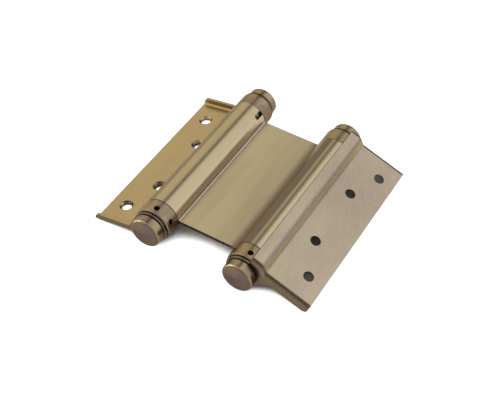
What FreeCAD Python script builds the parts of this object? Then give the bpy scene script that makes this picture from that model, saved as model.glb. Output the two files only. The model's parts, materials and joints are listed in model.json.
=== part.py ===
import FreeCAD, Part

import math
import os

from FreeCAD import Vector

# A double action spring hinge for swing doors, in millimetres, +Z up.
# A middle web plate is curled into a barrel along each long edge. Each barrel
# holds a torsion spring and turns on a spindle that is carried by the ears of
# one pressed leaf, so the hinge opens both ways. The hinge lies slack on a flat
# surface with both leaves swung out, as it comes out of its box. Barrels run
# along Y, the near end is at -Y, and the surface is at Z = 0.

# Driving dimensions of the leaves
leaf_length = 126.2          # along the barrels, over the turned ends
leaf_sheet = 2.0             # thickness of the pressed sheet
leaf_reach = 42.7            # barrel axis to the free edge
face_height = 10.8           # barrel axis to the mounting face
shoulder_reach = 7.9         # barrel axis to the top of the step
step_foot_reach = 12.0       # barrel axis to the foot of the step
shoulder_radius = 6.0        # outside radius where the lip turns down
step_foot_radius = 0.6       # outside radius where the step meets the face
lip_edge_reach = 0.9         # barrel axis to the long edge that covers the barrel
lip_clearance = 1.4          # running space between barrel and lip
end_bend_radius = 3.6        # outside radius of the turned ends
end_height = 6.0             # mounting face to the lower edge of a turned end
end_corner_radius = 3.0      # rounded corner of a turned end at the free edge
ear_radius = 10.8            # rounded ear that holds the spindle
ear_edge_radius = 0.7        # the ear's edge is tumbled round
ear_neck_angle = 55.0        # slope of the neck between ear and turned end, degrees

# Screw holes of a leaf, two near the free edge and two near the barrel
outer_hole_reach = 32.0
inner_hole_reach = 23.2
outer_hole_spacing = 91.2
inner_hole_spacing = 44.4
screw_hole_radius = 3.2
countersink_radius = 4.3

# Driving dimensions of the web and its barrels
barrel_radius = 11.5
web_sheet = 2.0
barrel_spacing = 62.2        # between the two barrel axes
curl_slit = 0.3              # left open where a curl closes on the web
web_fillet = 1.2             # bend where the web runs into a curl
slot_width = 3.2
slot_depth = 6.8             # from the barrel's end to the blind end of the slot
slot_angle = 42.0            # direction of the slot, seen from the near end

# Turned pieces in and beside a barrel
ring_width = 10.0            # bare part of a ring or collar, up to the ear
joint_gap = 0.2              # between a barrel and the ring or collar beside it
ear_gap = 0.2                # between a ring or collar and the ear beside it
running_clearance = 0.05     # radial, in every turning fit
spindle_radius = 4.0
spigot_length = 14.0
ring_inner_chamfer = 0.2     # edge beside the barrel
ring_outer_chamfer = 0.6     # edge beside the ear
tommy_hole_count = 6
tommy_hole_radius = 1.75
tommy_hole_depth = 4.5
tommy_hole_inset = 4.0       # hole centre to the outer end of the collar
left_collar_phase = 26.5     # how each collar happens to be turned, degrees
right_collar_phase = 21.0
anchor_pin_radius = 1.5
anchor_pin_bite = 4.0        # length of the pin inside the plug
anchor_pin_recess = 1.5      # pin's outer end below the barrel's surface

# Thrust washers, sunk into the outer ends of collar and plug
washer_radius = 7.0
washer_thickness = 0.8
washer_side_clearance = 0.3
washer_end_clearance = 0.1

# End caps on the spindle
cap_radius = 9.85
cap_length = 6.0
cap_rim_radius = 1.4
cap_back_chamfer = 0.3
cap_neck_radius = 7.2
cap_neck_length = 0.3
spindle_grip = 4.2           # how far the spindle enters a cap
spindle_chamfer = 0.5

# Torsion springs of square wire
spring_wire = 2.8
spring_wall_clearance = 0.7  # between the coils and the barrel's bore
spring_pitch = 4.6
spring_end_clearance = 0.5   # between the end coils and the spigots
spring_tang = 4.0            # length of a bent end inside its pocket
tang_clearance = 0.15

# Sizes that follow from the driving dimensions
leaf_half = leaf_length / 2
ear_inner = leaf_half - leaf_sheet
lip_height = barrel_radius + lip_clearance + leaf_sheet
bore_radius = barrel_radius - web_sheet
flange_end = ear_inner - ear_gap
flange_start = flange_end - ring_width
barrel_half = flange_start - joint_gap
barrel_length = 2 * barrel_half
spigot_radius = bore_radius - running_clearance
spigot_end = flange_start - spigot_length
turning_bore = spindle_radius + running_clearance
washer_pocket_depth = washer_thickness + washer_end_clearance - ear_gap
cap_start = leaf_half + cap_neck_length
cap_end = cap_start + cap_length
pin_station = barrel_half - slot_depth + slot_width / 2
spring_outer = bore_radius - spring_wall_clearance
spring_mean = spring_outer - spring_wire / 2


# Rest pose on the surface

def left_leaf_slope():
    """Droop of the left leaf, which lies on its lip and its free edge."""
    arc_reach = shoulder_reach - shoulder_radius * math.tan(step_angle() / 2)
    arc_height = lip_height - shoulder_radius
    run = leaf_reach - arc_reach
    rise = arc_height - face_height
    span = math.hypot(run, rise)
    return math.atan2(rise, run) + math.asin(shoulder_radius / span)


def left_axis_height():
    slope = left_leaf_slope()
    return leaf_reach * math.sin(slope) + face_height * math.cos(slope)


def right_leaf_slope():
    """Droop of the right leaf, whose barrel and turned ends touch the surface."""
    corner_reach = leaf_reach - end_corner_radius
    corner_height = face_height - end_height + end_corner_radius
    span = math.hypot(corner_reach, corner_height)
    lean = math.atan2(corner_height, corner_reach)
    return lean + math.asin((barrel_radius - end_corner_radius) / span)


def web_slope():
    return math.asin((left_axis_height() - barrel_radius) / barrel_spacing)


def step_angle():
    return math.atan2(lip_height - face_height, step_foot_reach - shoulder_reach)


def left_reach():
    """Barrel axis to the outermost point of the left leaf, measured level."""
    slope = left_leaf_slope()
    corner_reach = leaf_reach - end_corner_radius
    corner_height = face_height - end_height + end_corner_radius
    return corner_reach * math.cos(slope) - corner_height * math.sin(slope) + end_corner_radius


def right_reach():
    slope = right_leaf_slope()
    return leaf_reach * math.cos(slope) + face_height * math.sin(slope)


def axis_places():
    """Left and right barrel axes as (x, z), with the whole hinge centred on X."""
    run = barrel_spacing * math.cos(web_slope())
    left_x = (left_reach() - run - right_reach()) / 2
    return (left_x, left_axis_height()), (left_x + run, barrel_radius)


# Small helpers

def rod(radius, start, end):
    return Part.makeCylinder(radius, end - start, Vector(0, start, 0), Vector(0, 1, 0))


def turned(profile):
    """Solid of revolution about Y from (radius, y) points."""
    points = [Vector(radius, y, 0) for radius, y in profile]
    face = Part.Face(Part.makePolygon(points + points[:1]))
    return face.revolve(Vector(0, 0, 0), Vector(0, 1, 0), 360)


def prism(outline, start, end):
    """Outline given as (x, z) points, drawn out along Y."""
    points = [Vector(x, start, z) for x, z in outline]
    face = Part.Face(Part.makePolygon(points + points[:1]))
    return face.extrude(Vector(0, end - start, 0))


def radial_rod(radius, inner, outer, station, angle):
    direction = Vector(math.cos(math.radians(angle)), 0, math.sin(math.radians(angle)))
    base = direction * inner + Vector(0, station, 0)
    return Part.makeCylinder(radius, outer - inner, base, direction)


def turn_about_y(shape, degrees):
    copy = shape.copy()
    copy.rotate(Vector(0, 0, 0), Vector(0, 1, 0), degrees)
    return copy


def mirror_ends(shape):
    """The same piece at the other end of the barrel."""
    return shape.mirror(Vector(0, 0, 0), Vector(0, 1, 0))


def edges_along_y(shape, x, z):
    found = []
    for edge in shape.Edges:
        ends = [vertex.Point for vertex in edge.Vertexes]
        if len(ends) == 2 and all(math.hypot(p.x - x, p.z - z) < 0.01 for p in ends):
            found.append(edge)
    return found


# The web with its two curled barrels

def web_plate():
    half = barrel_spacing / 2
    wall_middle = (barrel_radius + bore_radius) / 2
    plate = prism(
        [(wall_middle - half, -web_sheet / 2), (half - wall_middle, -web_sheet / 2),
         (half - wall_middle, web_sheet / 2), (wall_middle - half, web_sheet / 2)],
        -barrel_half, barrel_half)
    right_curl = curled_barrel()
    left_curl = turn_about_y(right_curl, 180)
    right_curl.translate(Vector(half, 0, 0))
    left_curl.translate(Vector(-half, 0, 0))
    web = plate.fuse([left_curl, right_curl]).removeSplitter()
    foot_reach = half - math.sqrt(barrel_radius ** 2 - (web_sheet / 2) ** 2)
    bends = edges_along_y(web, foot_reach, -web_sheet / 2)
    bends += edges_along_y(web, -foot_reach, web_sheet / 2)
    return web.makeFillet(web_fillet, bends)


def curled_barrel():
    """Barrel at the origin, closing on a web that comes from -X, slit above it."""
    barrel = rod(barrel_radius, -barrel_half, barrel_half)
    barrel = barrel.cut(rod(bore_radius, -barrel_half, barrel_half))
    slit = Part.makeBox(
        web_sheet * 2, barrel_length, curl_slit,
        Vector(-barrel_radius - web_sheet / 2, -barrel_half, web_sheet / 2))
    return barrel.cut([slit, pin_slot()])


def pin_slot():
    """Open-ended slot at the far end, cut through one side of the barrel."""
    blind_end = radial_rod(slot_width / 2, 0, barrel_radius * 2, pin_station, 0)
    mouth = Part.makeBox(
        barrel_radius * 2, slot_depth, slot_width,
        Vector(0, pin_station, -slot_width / 2))
    return turn_about_y(blind_end.fuse(mouth), -(slot_angle + 180))


# Turned pieces beside the barrel, drawn for the far end

def flanged_plug():
    """Ring of the barrel's own diameter with a spigot that fills the bore."""
    return turned([
        (turning_bore, spigot_end),
        (spigot_radius, spigot_end),
        (spigot_radius, flange_start),
        (barrel_radius - ring_inner_chamfer, flange_start),
        (barrel_radius, flange_start + ring_inner_chamfer),
        (barrel_radius, flange_end - ring_outer_chamfer),
        (barrel_radius - ring_outer_chamfer, flange_end),
        (washer_radius + washer_side_clearance, flange_end),
        (washer_radius + washer_side_clearance, flange_end - washer_pocket_depth),
        (turning_bore, flange_end - washer_pocket_depth)])


def anchor_plug(tang_angle):
    """Keyed to the web by its pin, it holds the far end of the spring."""
    plug = flanged_plug()
    pin_hole = radial_rod(
        anchor_pin_radius, spigot_radius - anchor_pin_bite, barrel_radius,
        pin_station, slot_angle + 180)
    return plug.cut([pin_hole, tang_pocket(tang_angle)])


def anchor_pin():
    return radial_rod(
        anchor_pin_radius, spigot_radius - anchor_pin_bite,
        barrel_radius - anchor_pin_recess, pin_station, slot_angle + 180)


def tension_collar(phase):
    """Turned with a tommy bar to wind up the spring, at the near end."""
    collar = flanged_plug()
    station = flange_end - tommy_hole_inset
    cuts = [tang_pocket(0)]
    for index in range(tommy_hole_count):
        angle = phase + index * 360 / tommy_hole_count
        cuts.append(radial_rod(
            tommy_hole_radius, barrel_radius - tommy_hole_depth,
            barrel_radius * 2, station, angle))
    return mirror_ends(collar.cut(cuts))


def thrust_washer():
    inner = ear_inner - washer_thickness
    washer = rod(washer_radius, inner, ear_inner)
    return washer.cut(rod(turning_bore, inner, ear_inner))


# Spindle and caps

def spindle():
    end = leaf_half + spindle_grip
    tip = spindle_radius - spindle_chamfer
    return turned([
        (0, -end), (tip, -end), (spindle_radius, spindle_chamfer - end),
        (spindle_radius, end - spindle_chamfer), (tip, end), (0, end)])


def end_cap():
    """Turned cap with a blind bore for the spindle and a softened rim."""
    bore_end = leaf_half + spindle_grip
    cap = turned([
        (0, bore_end), (spindle_radius, bore_end),
        (spindle_radius, leaf_half), (cap_neck_radius, leaf_half),
        (cap_neck_radius, cap_start), (cap_radius - cap_back_chamfer, cap_start),
        (cap_radius, cap_start + cap_back_chamfer), (cap_radius, cap_end), (0, cap_end)])
    rim = [edge for edge in cap.Edges if is_rim(edge)]
    return cap.makeFillet(cap_rim_radius, rim)


def is_rim(edge):
    box = edge.BoundBox
    return box.YMin > cap_end - 0.01 and box.XLength > cap_radius


# Torsion spring

def spring_span():
    """Lowest and highest centre of the wire along the barrel."""
    reach = spigot_end - spring_end_clearance - spring_wire / 2
    return -reach, reach


def spring_turns():
    low, high = spring_span()
    return (high - low) / spring_pitch


def tang_box(clearance):
    """Bent end of the wire, beside the X axis, reaching into the far spigot."""
    low, high = spring_span()
    side = spring_wire + 2 * clearance
    length = spigot_end - high + spring_tang + clearance
    return Part.makeBox(
        side, length, side,
        Vector(spring_mean - side / 2, high, -side / 2))


def tang_pocket(angle):
    return turn_about_y(tang_box(tang_clearance), -angle)


def torsion_spring():
    """Coil of square wire whose two bent ends stand in the spigots."""
    low, high = spring_span()
    half = spring_wire / 2
    path = Part.makeHelix(spring_pitch, high - low, spring_mean)
    corners = [
        Vector(spring_mean - half, 0, -half), Vector(spring_mean + half, 0, -half),
        Vector(spring_mean + half, 0, half), Vector(spring_mean - half, 0, half)]
    section = Part.makePolygon(corners + corners[:1])
    coil = Part.Wire(path.Edges).makePipeShell([section], True, True)
    coil.rotate(Vector(0, 0, 0), Vector(1, 0, 0), -90)
    coil.translate(Vector(0, low, 0))
    far_tang = turn_about_y(tang_box(0), -far_tang_angle())
    near_tang = mirror_ends(tang_box(0))
    return coil.fuse([near_tang, far_tang]).removeSplitter()


def far_tang_angle():
    """Where the last coil ends, the first starting at angle zero."""
    return -360 * (spring_turns() % 1)


# Pressed leaf, with its barrel axis along Y and the mounting face up

def leaf_block():
    """Everything under the mounting side, with the bends of the turned ends."""
    depth = -barrel_radius * 2
    block = prism(
        [(depth, depth), (depth, lip_height), (shoulder_reach, lip_height),
         (step_foot_reach, face_height), (leaf_reach, face_height), (leaf_reach, depth)],
        -leaf_half, leaf_half)
    block = block.makeFillet(shoulder_radius, edges_along_y(block, shoulder_reach, lip_height))
    block = block.makeFillet(step_foot_radius, edges_along_y(block, step_foot_reach, face_height))
    ends = [edge for edge in block.Edges if is_end_edge(edge, leaf_half, face_height)]
    return block.makeFillet(end_bend_radius, ends)


def leaf_pocket():
    """Everything inside the sheet, open at the lip and at the free edge."""
    depth = -barrel_radius * 3
    inset = leaf_sheet * math.tan(step_angle() / 2)
    lip_inside = lip_height - leaf_sheet
    face_inside = face_height - leaf_sheet
    past = leaf_reach + leaf_sheet
    above = lip_height + leaf_sheet
    pocket = prism(
        [(depth, depth), (depth, above), (lip_edge_reach, above),
         (lip_edge_reach, lip_inside), (shoulder_reach - inset, lip_inside),
         (step_foot_reach - inset, face_inside), (past, face_inside), (past, depth)],
        -ear_inner, ear_inner)
    pocket = pocket.makeFillet(
        shoulder_radius - leaf_sheet,
        edges_along_y(pocket, shoulder_reach - inset, lip_inside))
    pocket = pocket.makeFillet(
        step_foot_radius + leaf_sheet,
        edges_along_y(pocket, step_foot_reach - inset, face_inside))
    ends = [edge for edge in pocket.Edges
            if is_end_edge(edge, ear_inner, face_inside)
            and edge.BoundBox.ZMax < lip_inside + 0.01]
    return pocket.makeFillet(end_bend_radius - leaf_sheet, ends)


def is_end_edge(edge, station, lowest):
    """Edges of an end face that follow the sheet, not the sides of the block."""
    box = edge.BoundBox
    at_end = box.YLength < 0.01 and abs(abs(box.YMin) - station) < 0.01
    return at_end and box.ZMin > lowest - 0.01 and box.XLength > 0.01


def end_outline():
    """Turned end, neck and ear, seen along the barrel."""
    lower_edge = face_height - end_height
    angle = math.radians(ear_neck_angle)
    touch = (ear_radius * math.sin(angle), -ear_radius * math.cos(angle))
    neck_reach = touch[0] + (lower_edge - touch[1]) / math.tan(angle)
    above = lip_height + leaf_sheet
    end = prism(
        [(lip_edge_reach, 0), (lip_edge_reach, above), (leaf_reach, above),
         (leaf_reach, lower_edge), (neck_reach, lower_edge), touch],
        -leaf_half, leaf_half)
    end = end.makeFillet(end_corner_radius, edges_along_y(end, leaf_reach, lower_edge))
    ear = round_ear()
    return end.fuse([ear, mirror_ends(ear)])


def round_ear():
    """Disc as thick as the sheet, both rims tumbled round."""
    disc = rod(ear_radius, ear_inner, leaf_half)
    rims = [edge for edge in disc.Edges if edge.BoundBox.YLength < 0.01]
    return disc.makeFillet(ear_edge_radius, rims)


def screw_hole(reach, station):
    """Clearance hole with a countersink on the inner side of the sheet."""
    inside = face_height - leaf_sheet
    depth = countersink_radius - screw_hole_radius
    up = Vector(0, 0, 1)
    shank = Part.makeCylinder(screw_hole_radius, leaf_sheet * 2, Vector(reach, station, inside), up)
    sink = Part.makeCone(
        countersink_radius, screw_hole_radius, depth, Vector(reach, station, inside), up)
    return shank.fuse(sink)


def pressed_leaf():
    leaf = leaf_block().common(end_outline()).cut(leaf_pocket())
    holes = [rod(spindle_radius, -leaf_length, leaf_length)]
    for side in (-1, 1):
        holes.append(screw_hole(outer_hole_reach, side * outer_hole_spacing / 2))
        holes.append(screw_hole(inner_hole_reach, side * inner_hole_spacing / 2))
    return leaf.cut(holes).removeSplitter()


# Assembly

def placed(shape, degrees, place):
    """Turned about the barrel axis and set down at its place as (x, z)."""
    copy = turn_about_y(shape, degrees)
    copy.translate(Vector(place[0], 0, place[1]))
    return copy


def barrel_pieces(side, web_turn, leaf_turn, place, phase):
    """All pieces on one barrel: those fixed to the web, then those of the leaf."""
    fixed = {
        "anchor_plug": anchor_plug(far_tang_angle()),
        "anchor_pin": anchor_pin(),
        "torsion_spring": torsion_spring(),
        "tension_collar": tension_collar(phase)}
    moving = {
        "leaf": pressed_leaf(),
        "spindle": spindle(),
        "far_cap": end_cap(),
        "near_cap": mirror_ends(end_cap()),
        "far_washer": thrust_washer(),
        "near_washer": mirror_ends(thrust_washer())}
    pieces = {}
    for name, shape in fixed.items():
        pieces[side + "_" + name] = placed(shape, web_turn, place)
    for name, shape in moving.items():
        pieces[side + "_" + name] = placed(shape, leaf_turn, place)
    return pieces


def hinge():
    left_place, right_place = axis_places()
    tilt = math.degrees(web_slope())
    middle = ((left_place[0] + right_place[0]) / 2, (left_place[1] + right_place[1]) / 2)
    pieces = {"web_plate": placed(web_plate(), tilt, middle)}
    left_turn = 180 - math.degrees(left_leaf_slope())
    right_turn = math.degrees(right_leaf_slope())
    pieces.update(barrel_pieces(
        "left", tilt + 180, left_turn, left_place, left_collar_phase + 180))
    pieces.update(barrel_pieces(
        "right", tilt, right_turn, right_place, right_collar_phase))
    return pieces


def export():
    os.makedirs("parts", exist_ok=True)
    for name, shape in hinge().items():
        shape.exportStep("parts/" + name + ".step")


export()
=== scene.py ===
import json
import math

import bmesh
import bpy
from mathutils import Matrix, Vector

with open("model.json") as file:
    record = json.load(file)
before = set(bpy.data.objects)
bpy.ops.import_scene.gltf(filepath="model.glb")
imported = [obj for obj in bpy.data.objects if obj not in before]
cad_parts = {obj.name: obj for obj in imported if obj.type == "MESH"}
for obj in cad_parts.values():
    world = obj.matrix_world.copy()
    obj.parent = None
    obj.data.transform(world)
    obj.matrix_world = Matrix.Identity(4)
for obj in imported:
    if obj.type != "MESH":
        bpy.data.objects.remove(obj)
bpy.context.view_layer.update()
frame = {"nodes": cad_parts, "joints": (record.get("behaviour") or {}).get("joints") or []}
nodes = frame["nodes"]
joints = {joint["name"]: joint for joint in frame["joints"]}
scene = bpy.context.scene
print("frame loaded, nodes:", len(nodes))

sides = ("left", "right")
barrelAxis = {side: Vector(joints[side + "_leaf_swing"]["pos_m"]) for side in sides}


def placed(place, right, up, back):              # a matrix from a place and three axes
    turn = Matrix((right, up, back)).transposed().to_4x4()
    return Matrix.Translation(Vector(place)) @ turn


camera = {                                       # fitted to the photograph's edges and holes
    "place": (0.2477995, -0.4054536, 0.4757542),
    "right": (0.8609556, 0.5083368, -0.0186876),
    "down": (0.3488470, -0.6167725, -0.7056185),
    "lens": 78.204, "sensor": 36.0,              # mm
    "nearest": 0.01, "farthest": 50.0,
}


def makeCamera(look):
    data = bpy.data.cameras.new("camera")
    data.lens = look["lens"]
    data.sensor_width = look["sensor"]
    data.clip_start = look["nearest"]
    data.clip_end = look["farthest"]
    right = Vector(look["right"]).normalized()
    up = -Vector(look["down"]).normalized()
    made = bpy.data.objects.new("camera", data)
    made.matrix_world = placed(look["place"], right, up, right.cross(up))
    scene.collection.objects.link(made)
    scene.camera = made


makeCamera(camera)
print("camera set")


class Value:                                     # a socket that Python sums can use
    def __init__(self, sheet, socket):
        self.sheet = sheet
        self.socket = socket

    def maths(self, operation, *values):
        return self.sheet.add("ShaderNodeMath", {"operation": operation}, values)

    def output(self, name):                      # another output of the same node
        return Value(self.sheet, self.socket.node.outputs[name])

    def __add__(self, other):
        return self.maths("ADD", self, other)

    def __radd__(self, other):
        return self.maths("ADD", other, self)

    def __sub__(self, other):
        return self.maths("SUBTRACT", self, other)

    def __rsub__(self, other):
        return self.maths("SUBTRACT", other, self)

    def __mul__(self, other):
        return self.maths("MULTIPLY", self, other)

    def __rmul__(self, other):
        return self.maths("MULTIPLY", other, self)

    def __pow__(self, other):
        return self.maths("POWER", self, other)

    def __rpow__(self, other):
        return self.maths("POWER", other, self)

    def __abs__(self):
        return self.maths("ABSOLUTE", self)


class Sheet:                                     # the node tree of one material or world
    def __init__(self, owner):
        owner.use_nodes = True
        self.tree = owner.node_tree
        self.tree.nodes.clear()

    def add(self, kind, settings=None, sockets=None, out=0):
        node = self.tree.nodes.new(kind)
        for name, value in (settings or {}).items():
            setattr(node, name, value)
        items = sockets.items() if isinstance(sockets, dict) else enumerate(sockets or ())
        for key, value in items:
            if isinstance(value, Value):
                self.tree.links.new(value.socket, node.inputs[key])
            else:
                node.inputs[key].default_value = value
        return Value(self, node.outputs[out]) if len(node.outputs) else None

    def mixed(self, amount, first, second):      # a colour Mix has its sockets at 6, 7 and 2
        return self.add(
            "ShaderNodeMix", {"data_type": "RGBA"}, {0: amount, 6: first, 7: second}, out=2)

    def smooth(self, value, low, high):          # 0 below low, 1 above high
        return self.add(
            "ShaderNodeMapRange", {"interpolation_type": "SMOOTHSTEP"},
            {0: value, 1: low, 2: high})

    def within(self, value, start, stop):        # rises to 1 over start, falls to 0 over stop
        return self.smooth(value, *start) * (1 - self.smooth(value, *stop))

    def scaled(self, vector, scale):
        return self.add("ShaderNodeMapping", None, {"Vector": vector, "Scale": scale})

    def noise(self, vector, detail, roughness):
        return self.add("ShaderNodeTexNoise", None, {
            "Vector": vector, "Scale": 1.0, "Detail": detail, "Roughness": roughness})

    def hollow(self, samples, distance):         # 1 in the open, 0 deep in a corner
        return self.add(
            "ShaderNodeAmbientOcclusion", {"samples": samples}, {"Distance": distance}, out="AO")

    def axisParts(self, place, centre):          # x, y, z and distance from a barrel's axis
        apart = self.add(
            "ShaderNodeVectorMath", {"operation": "SUBTRACT"}, [place, tuple(centre)])
        split = self.add("ShaderNodeSeparateXYZ", None, [apart])
        x, y, z = (split.output(axis) for axis in "XYZ")
        return x, y, z, (x * x + z * z) ** 0.5

    def angle(self, x, z):                       # degrees round the axis, from +X
        return x.maths("ARCTAN2", z, x) * (180 / math.pi)


def tone(red, green, blue):                      # picture values to linear light
    def linear(v):
        v = v / 255
        return v / 12.92 if v <= 0.04045 else ((v + 0.055) / 1.055) ** 2.4
    return (linear(red), linear(green), linear(blue), 1.0)


def grainOf(sheet, look, place, apart):
    # brushed along the barrels, or turned round a barrel's axis
    x, y, z, radius = apart
    grain = place
    if look["turned"]:
        grain = sheet.add("ShaderNodeCombineXYZ", None, [radius, y, x + z])
    slant = (0, 0, math.radians(look["slant"]))
    grain = sheet.add("ShaderNodeMapping", None, {"Vector": grain, "Rotation": slant})
    fine = sheet.noise(sheet.scaled(grain, look["brush"]), *look["brushNoise"])
    coarse = sheet.noise(sheet.scaled(grain, look["scratch"]), *look["scratchNoise"])
    return fine * look["brushPart"] + coarse * look["scratchPart"]


def endBands(sheet, look, apart, angle, flat, body):
    # the rounded bends and the flat faces at both ends, only where they face outwards: painted
    # shade on the end faces; on the bends painted shade on the sheets, a painted highlight on the
    # rings and caps
    along = sheet.add("ShaderNodeSeparateXYZ", None, [flat], out="Y")
    outer = sheet.smooth(along * apart[1], *look["outer"])
    end = sheet.smooth(abs(along), *look["end"]) * outer
    bend = sheet.smooth(abs(along), *look["bend"]) * (1 - end) * outer
    # painted shade on the sheets' bends, a painted highlight on the rims of the rings and caps
    body = sheet.mixed(bend * look["bendShare"], body, look["bendLightAndShade"])
    # a painted highlight on the rim, brightest at one angle round the axis
    if look["gleam"]:
        gleam = look["gleam"]
        glint = 1 - sheet.smooth(abs(angle - gleam["angle"]), gleam["near"], gleam["far"])
        body = sheet.mixed(bend * glint * gleam["share"], body, gleam["tone"])
    # painted shade on the flat end faces that face outwards
    share = look["endShare"]
    # painted reflection in sectors round a turned end face
    if look["sectors"]:
        sectors = look["sectors"]
        turn = angle * math.radians(sectors["count"]) - sectors["turn"]
        share = turn.maths("COSINE", turn) * sectors["share"] + share
    return sheet.mixed(end * share, body, look["endShadeTone"])


def barrelHighlightAndShadeBands(sheet, look, place, body):
    # the barrels' own brass, and bands of painted highlight and painted shade along them
    for side in sides:
        x, y, z, radius = sheet.axisParts(place, barrelAxis[side])
        barrel = 1 - sheet.smooth(radius, *look["skin"])
        body = sheet.mixed(barrel, body, look["colour"])
        angle = sheet.angle(x, z)
        for colour, start, stop, share in look[side]:
            body = sheet.mixed(sheet.within(angle, start, stop) * barrel * share, body, colour)
    return body


def earBands(sheet, look, apart, body, patinaAndShade, paintedShade):
    # painted shade on the ear's rim, and a painted shadow in the gap where it meets the ring
    x, y, z, radius = apart
    disc = 1 - sheet.smooth(radius, *look["reach"])
    body = sheet.mixed(disc * look["rim"], body, patinaAndShade)
    return sheet.mixed(sheet.within(abs(y), *look["gap"]) * disc, body, paintedShade)


def paintedShadeLine(sheet, look, apart, body, patinaAndShade):
    # painted shade in a line along the barrels, at a distance from their axis in one direction
    x, y, z, radius = apart
    lean = math.radians(look["lean"])
    reach = x * math.cos(lean) + z * math.sin(lean)
    line = sheet.within(reach, look["start"], look["stop"])
    return sheet.mixed(line * look["share"], body, patinaAndShade)


def paintedShadePatch(sheet, look, place, body, patinaAndShade):
    # a soft round patch of painted shade
    far = sheet.add(
        "ShaderNodeVectorMath", {"operation": "DISTANCE"}, [place, look["place"]], out="Value")
    patch = 1 - sheet.smooth(far, 0.0, look["reach"])
    return sheet.mixed(patch * look["share"], body, patinaAndShade)


def bodyOf(sheet, look, place, apart, streak, rounded):
    x, y, z, radius = apart
    angle = sheet.angle(x, z)
    flat = sheet.add("ShaderNodeNewGeometry", out="Normal")
    # one colour for the tarnish in the brass and for painted shade
    patinaAndShade, paintedShade = look["patinaAndShade"], look["paintedShade"]

    cloud = sheet.noise(sheet.scaled(place, look["cloud"]), *look["cloudNoise"])
    clouded = sheet.smooth(cloud, *look["cloudRange"]) * look["clouded"]
    body = sheet.mixed(clouded, look["colour"], look["tint"])
    body = endBands(sheet, look, apart, angle, flat, body)
    if look["barrels"]:
        body = barrelHighlightAndShadeBands(sheet, look["barrels"], place, body)
    if look["ear"]:
        body = earBands(sheet, look["ear"], apart, body, patinaAndShade, paintedShade)
    if look["line"]:
        body = paintedShadeLine(sheet, look["line"], apart, body, patinaAndShade)
    if look["patch"]:
        body = paintedShadePatch(sheet, look["patch"], place, body, patinaAndShade)
    # painted shade on the lower side of each piece, by angle round its axis
    under = (1 - sheet.smooth(angle, *look["underRange"])) * look["under"]
    body = sheet.mixed(under, body, look["underTone"])

    # the brush leaves bare and dull streaks
    bare = sheet.smooth(streak, *look["bareRange"])
    body = sheet.mixed(bare * look["streaks"], body, look["bare"])
    dull = 1 - sheet.smooth(streak, *look["dullRange"])
    body = sheet.mixed(dull * look["streaks"], body, patinaAndShade)

    # the brass keeps a darker tarnish in its recesses, which on the rings also paints the shade
    # that the floor and web cast; painted shade in tight corners and along edges
    recess = sheet.hollow(look["hollowSamples"], look["recess"])
    recessTarnishAndShade = (1 - sheet.smooth(recess, *look["recessRange"])) * look["recessPatinaAndShade"]
    if look["recessSpan"]:                       # only between the barrels
        across = sheet.add("ShaderNodeSeparateXYZ", None, [place], out="X")
        recessTarnishAndShade = recessTarnishAndShade * (1 - sheet.smooth(abs(across), *look["recessSpan"]))
    body = sheet.mixed(recessTarnishAndShade, body, patinaAndShade)
    # painted shade in tight corners and seams
    corner = sheet.hollow(look["hollowSamples"], look["corner"])
    shut = 1 - sheet.smooth(corner, *look["cornerRange"])
    body = sheet.mixed(shut * look["cornerShade"], body, paintedShade)
    # painted shade along the edges
    alike = sheet.add(
        "ShaderNodeVectorMath", {"operation": "DOT_PRODUCT"}, [rounded, flat], out="Value")
    edge = sheet.smooth(1 - alike, *look["edgeRange"])
    return sheet.mixed(edge * look["edgeShade"], body, paintedShade), shut


def metal(name, look, centre):
    material = bpy.data.materials.new(name)
    sheet = Sheet(material)
    place = sheet.add("ShaderNodeTexCoord", out="Object")
    apart = sheet.axisParts(place, centre)
    streak = grainOf(sheet, look, place, apart)
    rounded = sheet.add(
        "ShaderNodeBevel", {"samples": look["edgeSamples"]}, {"Radius": look["edge"]})
    body, shut = bodyOf(sheet, look, place, apart, streak, rounded)
    rough = look["rough"] + (streak - 0.5) * look["roughSpread"] + shut * look["cornerRough"]
    coat = (1 - shut) * look["coat"] if look["coat"] else 0.0
    bump = sheet.add("ShaderNodeBump", None, {
        "Strength": 1.0, "Distance": look["depth"], "Height": streak, "Normal": rounded})
    shader = sheet.add("ShaderNodeBsdfPrincipled", None, {
        "Base Color": body, "Metallic": 1.0, "Roughness": rough, "Normal": bump,
        "Specular Tint": look["specularTint"],
        "Coat Weight": coat, "Coat Roughness": look["coatRough"], "Coat IOR": look["coatBend"]})
    sheet.add("ShaderNodeOutputMaterial", None, [shader])
    return material


def dress(name, material):
    materials = nodes[name].data.materials
    materials.clear()
    materials.append(material)


def dressBoth(names, finish, look):              # the same pieces on both barrels
    for side in sides:
        material = metal(side + finish, look, barrelAxis[side])
        for name in names:
            dress(side + "_" + name, material)


plated = {                                       # what the finishes share, lengths in metres
    "brushNoise": (2.0, 0.6), "brushPart": 0.55, "scratchNoise": (3.0, 0.6), "scratchPart": 0.45,
    "cloudNoise": (3.0, 0.55), "cloudRange": (0.4, 0.62),
    "bareRange": (0.4, 0.68), "dullRange": (0.3, 0.5),
    "outer": (0.0, 0.002), "bend": (0.08, 0.5), "end": (0.6, 0.97),
    "hollowSamples": 8, "corner": 0.0012, "cornerRange": (0.1, 0.75), "cornerRough": 0.12,
    "edgeSamples": 6, "edgeRange": (0.005, 0.12),
    "under": 0.0, "underRange": (-12, 32), "underTone": tone(52, 42, 33),
    "specularTint": (0.7, 0.62, 0.5, 1.0), "coat": 0.25, "coatRough": 0.35, "coatBend": 1.5,
    "turned": False, "gleam": None, "sectors": None,
    "barrels": None, "ear": None, "line": None, "patch": None, "recessSpan": None,
}

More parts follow.
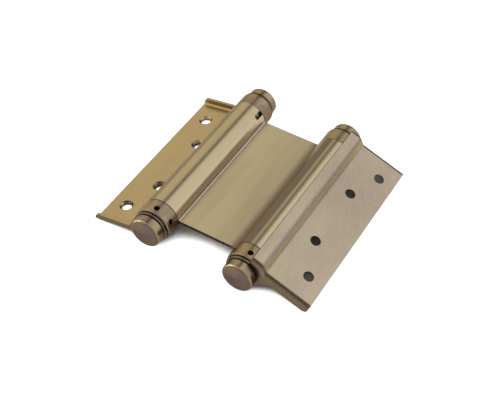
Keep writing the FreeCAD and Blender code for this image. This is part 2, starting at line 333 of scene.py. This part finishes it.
pressedBrass = dict(                             # the left leaf
    plated, colour=tone(160, 138, 91), tint=tone(157, 131, 90), bare=tone(192, 170, 122),
    patinaAndShade=tone(88, 73, 74), paintedShade=tone(28, 21, 18),
    brush=(5200, 300, 5200), scratch=(1900, 80, 1900), slant=-4, streaks=0.14, depth=0.000002,
    cloud=(60, 22, 60), clouded=0.45, rough=0.30, roughSpread=0.08,
    edge=0.0005, edgeShade=0.7, cornerShade=0.7,
    recess=0.006, recessRange=(0.35, 0.97), recessPatinaAndShade=0.3,
    bendLightAndShade=tone(54, 42, 31), bendShare=0.92, endShadeTone=tone(90, 74, 53), endShare=0.9,
    # painted shade on the ear's rim and a painted shadow in its gap
    ear={"reach": (0.0116, 0.0122), "rim": 0.75, "gap": ((0.0607, 0.0609), (0.0621, 0.0624))},
    line={"lean": -173.7, "start": (0.0062, 0.0082), "stop": (0.0082, 0.0102), "share": 0.45})
rightLeafLitBrass = dict(                                # the right leaf, its colours made paler and pinker than the left leaf's: painted light from the right lamp
    pressedBrass, colour=tone(153, 135, 100), tint=tone(144, 125, 94), bare=tone(188, 171, 138),
    patinaAndShade=tone(94, 78, 68), scratch=(1300, 45, 1300), slant=-13, streaks=0.2,
    cloud=(50, 20, 50), clouded=0.6,
    line=dict(pressedBrass["line"], lean=-23.2, share=0.6),
    patch={"place": (0.056, 0.020, 0.012), "reach": 0.042, "share": 0.14})
for side, look in zip(sides, (pressedBrass, rightLeafLitBrass)):
    dress(side + "_leaf", metal(side + "PressedBrass", look, barrelAxis[side]))
print("leaves dressed")

curledBrass = dict(                              # the web plate and its two barrels
    pressedBrass, colour=tone(187, 169, 128), tint=tone(171, 151, 112),
    scratch=(1500, 40, 1500), slant=0, streaks=0.02, depth=0.0000006,
    cloud=(80, 12, 80), clouded=0.5, rough=0.28, roughSpread=0.02,
    recess=0.008, recessRange=(0.45, 0.95), recessPatinaAndShade=0.95, recessSpan=(0.026, 0.031),
    bendLightAndShade=tone(88, 73, 74), endShadeTone=tone(18, 14, 11), endShare=1.0, ear=None,
    line={"lean": 0.0, "start": (0.0455, 0.0495), "stop": (0.0495, 0.0535), "share": 0.45},
    barrels={                                    # painted highlight and painted shade bands, in degrees round each axis, from +X
        "skin": (0.0116, 0.0125), "colour": tone(161, 142, 101),
        "left": [(tone(198, 174, 126), (13, 24), (26, 46), 0.8),
                 (tone(192, 172, 176), (4, 10), (13, 24), 0.75),
                 (tone(96, 78, 58), (112, 124), (150, 175), 0.7)],
        "right": [(tone(80, 66, 62), (88, 99), (112, 130), 0.85),
                  (tone(84, 70, 56), (118, 130), (170, 180), 0.25),
                  (tone(196, 176, 128), (50, 60), (70, 76), 0.2)]})
dress("web_plate", metal("curledBrassWeb", curledBrass, barrelAxis["left"]))
print("web dressed")

turnedBrass = dict(                              # the rings of the plugs
    plated, colour=tone(138, 117, 79), tint=tone(108, 90, 66), bare=tone(180, 155, 104),
    patinaAndShade=tone(88, 73, 74), paintedShade=tone(28, 21, 18),
    brush=(5200, 300, 5200), scratch=(1700, 70, 1700), slant=0, streaks=0.24, depth=0.000004,
    cloud=(150, 60, 150), clouded=0.75, rough=0.33, roughSpread=0.08,
    edge=0.0003, edgeShade=0.0, cornerShade=0.95,
    recess=0.02, recessRange=(0.2, 0.75), recessPatinaAndShade=0.9, under=0.35,
    bendLightAndShade=tone(180, 155, 104), bendShare=0.35, endShadeTone=tone(88, 73, 74), endShare=0.6)
# the collars: the ring brass with more painted shade on their lower side
collarBrass = dict(turnedBrass, colour=tone(138, 117, 80), tint=tone(110, 92, 68), under=0.75)
dressBoth(["anchor_plug"], "TurnedBrass", turnedBrass)
dressBoth(["tension_collar"], "CollarBrass", collarBrass)
print("rings dressed")

cappedBrass = dict(
    turnedBrass, turned=True, brush=(5200, 5200, 60), scratch=(2000, 2000, 30), streaks=0.2,
    depth=0.000006, rough=0.28, recess=0.008, recessRange=(0.35, 0.97), recessPatinaAndShade=0.6,
    bendLightAndShade=tone(178, 152, 98), bendShare=0.7, endShare=0.8, under=0.4,
    sectors={"count": 2, "turn": 1.2, "share": 0.175},   # painted reflection: brighter and darker sectors of the turned face
    # a painted highlight on the caps' rims
    gleam={"tone": tone(255, 238, 190), "angle": 122, "near": 6, "far": 30, "share": 0.75})
dressBoth(["far_cap", "near_cap"], "CappedBrass", cappedBrass)
print("caps dressed")

plainSteel = dict(
    turnedBrass, colour=tone(96, 93, 90), tint=tone(88, 86, 84), bare=tone(150, 148, 148),
    patinaAndShade=tone(50, 48, 48), paintedShade=tone(22, 20, 20), rough=0.32, coat=0.0, endShare=0.0, under=0.0)
# the anchor pins: the plain steel darkened, painted shade for the slots they sit in
shadedSteel = dict(
    plainSteel, colour=tone(46, 42, 40), tint=tone(40, 37, 36), bare=tone(90, 86, 84), rough=0.4)
springSteel = dict(plainSteel, colour=tone(80, 78, 76), rough=0.42)
dressBoth(["spindle", "far_washer", "near_washer"], "PlainSteel", plainSteel)
dressBoth(["anchor_pin"], "ShadedSteel", shadedSteel)
dressBoth(["torsion_spring"], "SpringSteel", springSteel)
print("steel dressed")


paper = {
    "colour": (0.7, 0.7, 0.7, 1.0), "size": 12.0, "drop": 0.00002,
    "glow": 0.97, "mirroredGlow": 0.5,           # seen straight, and in the metal
    "shadowReach": 0.05, "shadowRange": (0.15, 0.32), "shadowSamples": 32,
}


def makeFloor(look):
    material = bpy.data.materials.new("floorPaper")
    sheet = Sheet(material)
    path = sheet.add("ShaderNodeLightPath")
    mirrored = path.output("Is Glossy Ray") * look["mirroredGlow"]
    seen = path.output("Is Camera Ray") + mirrored + path.output("Is Transmission Ray")
    clear = sheet.smooth(
        sheet.hollow(look["shadowSamples"], look["shadowReach"]), *look["shadowRange"])
    plain = sheet.add("ShaderNodeBsdfDiffuse", None, {"Color": look["colour"]})
    glow = sheet.add("ShaderNodeEmission", None, {"Strength": seen * clear * look["glow"]})
    both = sheet.add("ShaderNodeAddShader", None, [plain, glow])
    sheet.add("ShaderNodeOutputMaterial", None, [both])

    mesh = bpy.data.meshes.new("floor")
    shape = bmesh.new()
    bmesh.ops.create_grid(shape, x_segments=1, y_segments=1, size=look["size"] / 2)
    shape.to_mesh(mesh)
    shape.free()
    mesh.materials.append(material)
    floor = bpy.data.objects.new("floor", mesh)
    floor.location.z = -look["drop"]
    scene.collection.objects.link(floor)


makeFloor(paper)
print("floor laid")


air = {
    "level": (0.16, 0.15, 0.20, 1.0), "frontLevel": (0.80, 0.77, 0.76, 1.0), "front": (0.05, 0.6),
}


def makeWorld(look):
    world = bpy.data.worlds.new("studio")
    sheet = Sheet(world)
    # brighter on the camera's side, which is what the back of the hinge mirrors
    way = sheet.add("ShaderNodeTexCoord", out="Generated")
    along = sheet.add("ShaderNodeSeparateXYZ", None, [way], out="Y")
    front = sheet.smooth(0 - along, *look["front"])
    level = sheet.mixed(front, look["level"], look["frontLevel"])
    back = sheet.add("ShaderNodeBackground", None, {"Color": level, "Strength": 1.0})
    sheet.add("ShaderNodeOutputWorld", None, [back])
    scene.world = world


softboxes = [                                    # angle round Y from +X, reach along Y in metres
    {"angle": 47.3, "away": 2.5, "across": 4.66, "from": -0.35, "to": 3.6,
     "bright": 1.35, "colour": (1.0, 1.10, 1.42)},
    {"angle": 140, "away": 2.5, "across": 3.1, "from": -2.2, "to": 3.6,
     "bright": 1.05, "colour": (1.0, 1.0, 0.96)},
]


def softbox(name, look):
    along = look["to"] - look["from"]
    data = bpy.data.lights.new(name, "AREA")
    data.shape = "RECTANGLE"
    data.size = look["across"]
    data.size_y = along
    data.color = look["colour"]
    # a lamp's brightness is its power over its area and pi
    data.energy = look["bright"] * math.pi * look["across"] * along
    angle = math.radians(look["angle"])
    back = Vector((math.cos(angle), 0, math.sin(angle)))
    up = Vector((0, 1, 0))
    place = back * look["away"] + up * (look["from"] + look["to"]) / 2
    lamp = bpy.data.objects.new(name, data)
    lamp.matrix_world = placed(place, up.cross(back), up, back)
    lamp.visible_camera = False
    scene.collection.objects.link(lamp)


makeWorld(air)
for number, look in enumerate(softboxes):
    softbox("softbox" + str(number + 1), look)
scene.view_settings.view_transform = "Standard"
print("studio lit")
